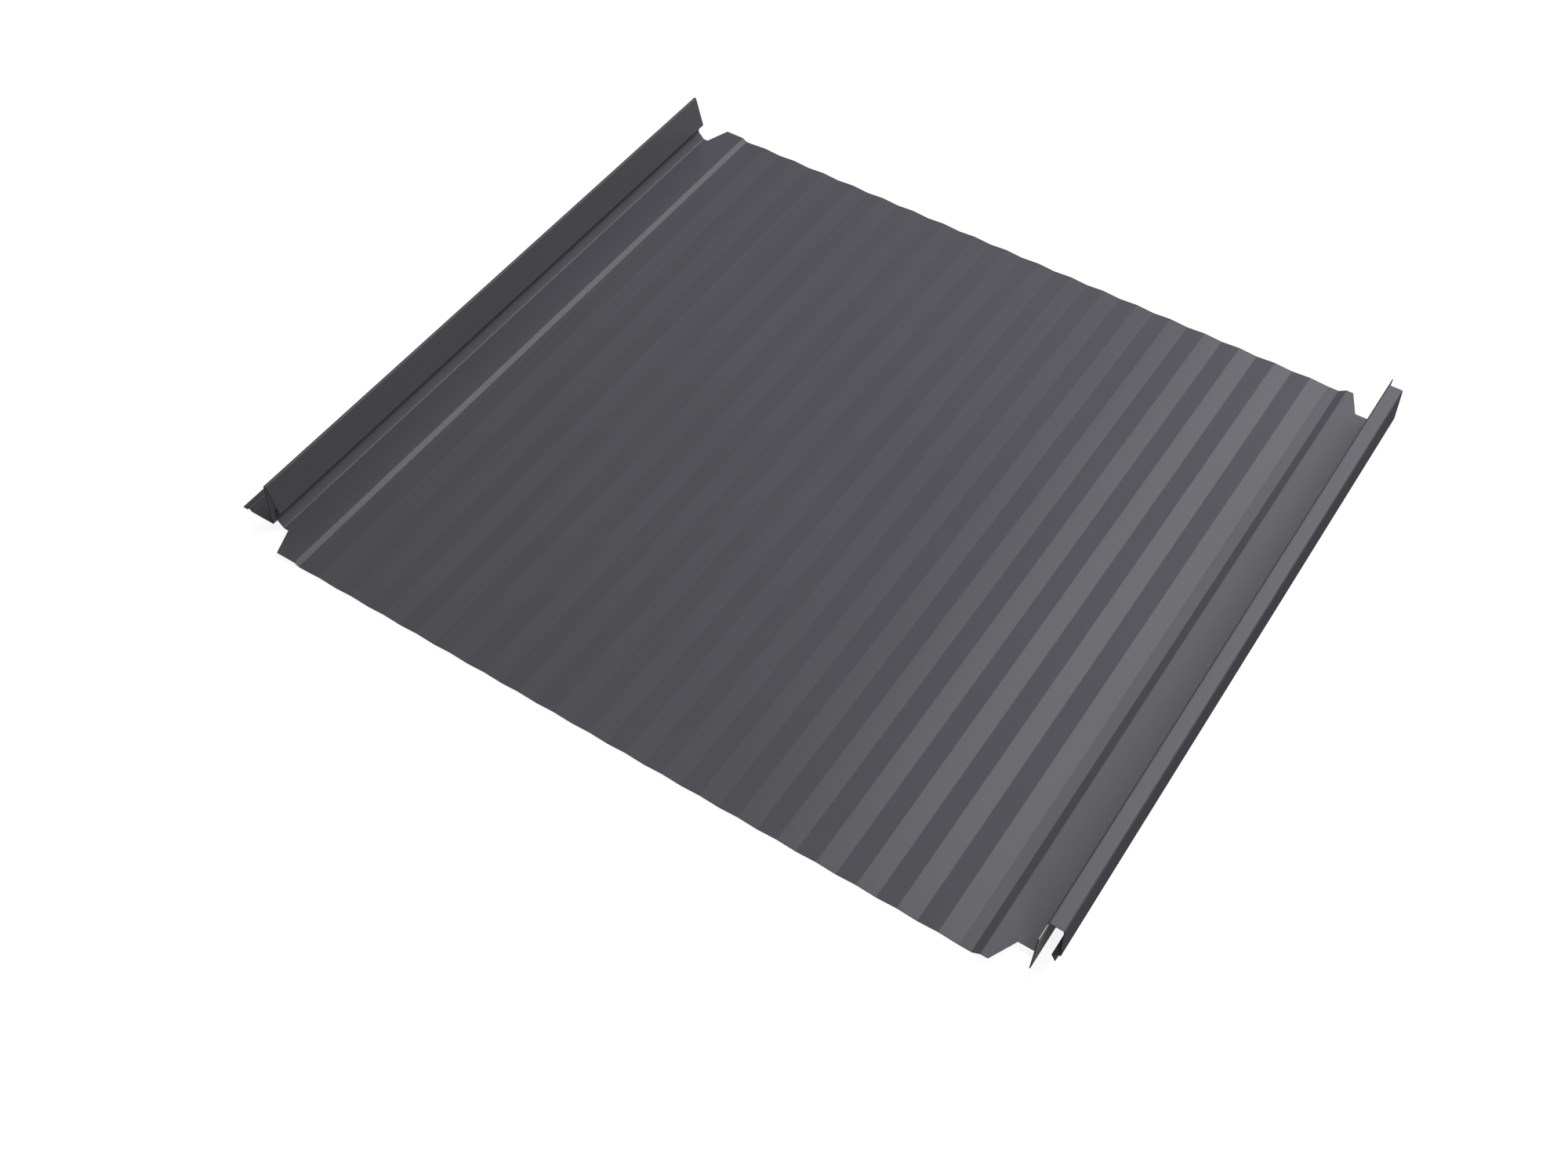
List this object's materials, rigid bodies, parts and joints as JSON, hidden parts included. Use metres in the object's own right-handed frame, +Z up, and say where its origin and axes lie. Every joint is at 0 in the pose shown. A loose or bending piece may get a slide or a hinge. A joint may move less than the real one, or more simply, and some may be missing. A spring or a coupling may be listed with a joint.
{
  "type": "standing seam roof panel",
  "caption": "Short standing seam roof panel in anthracite steel: pleated pan, slotted nailing flange, barbed male seam on one side and hooked female seam on the other, corners notched.",
  "frame": {"origin": "middle of the panel's overall width and length, on the plane it rests on", "axes": "+X across the panel from the nailing flange to the female seam, +Y along the seams, +Z up from the deck"},
  "size_m": [0.507, 0.43, 0.0339],
  "materials": {
    "painted_sheet": "satin"
  },
  "bodies": {
    "root": {"panel": "painted_sheet"}
  },
  "joints": []
}
